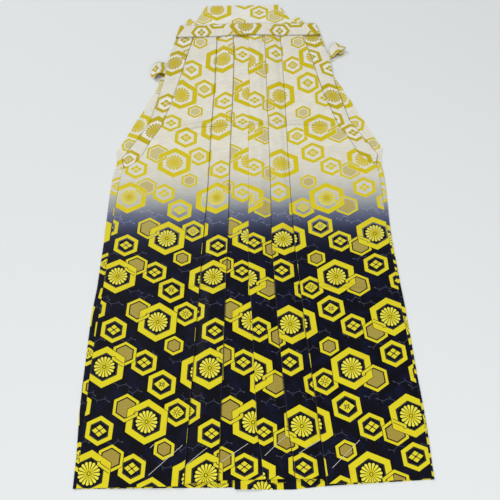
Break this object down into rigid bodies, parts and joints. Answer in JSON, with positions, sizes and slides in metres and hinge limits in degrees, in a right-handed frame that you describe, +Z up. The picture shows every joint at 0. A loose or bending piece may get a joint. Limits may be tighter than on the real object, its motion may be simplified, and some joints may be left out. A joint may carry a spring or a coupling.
{
  "type": "hakama trousers",
  "caption": "Pleated hakama trousers laid flat, front up, with a waist band, a stiff back board, open side slits and folded ties.",
  "frame": {"origin": "middle of the garment's box, on the surface that it lies on", "axes": "+X to the viewer's right across the garment, +Y from the hem to the waist, +Z up out of the pleated front"},
  "size_m": [0.5538, 1.0434, 0.0117],
  "materials": {
    "dyed_brocade": "gold brocade of woven hexagons on a ground dyed from off-white at the waist to near-black navy at the hem, soft satin sheen",
    "pale_brocade": "gold brocade of woven hexagons on an off-white ground, soft satin sheen"
  },
  "bodies": {
    "root": {"back_left": "dyed_brocade", "back_right": "dyed_brocade", "gusset_left": "dyed_brocade", "gusset_right": "dyed_brocade", "slit_strip_left": "pale_brocade", "slit_strip_right": "pale_brocade", "front_left": "dyed_brocade", "front_right": "dyed_brocade", "front_band": "pale_brocade", "back_board": "pale_brocade", "back_tie_left": "pale_brocade", "back_tie_right": "pale_brocade", "front_tie_left": "pale_brocade", "front_tie_right": "pale_brocade", "front_tie_run_left": "pale_brocade"}
  },
  "joints": []
}
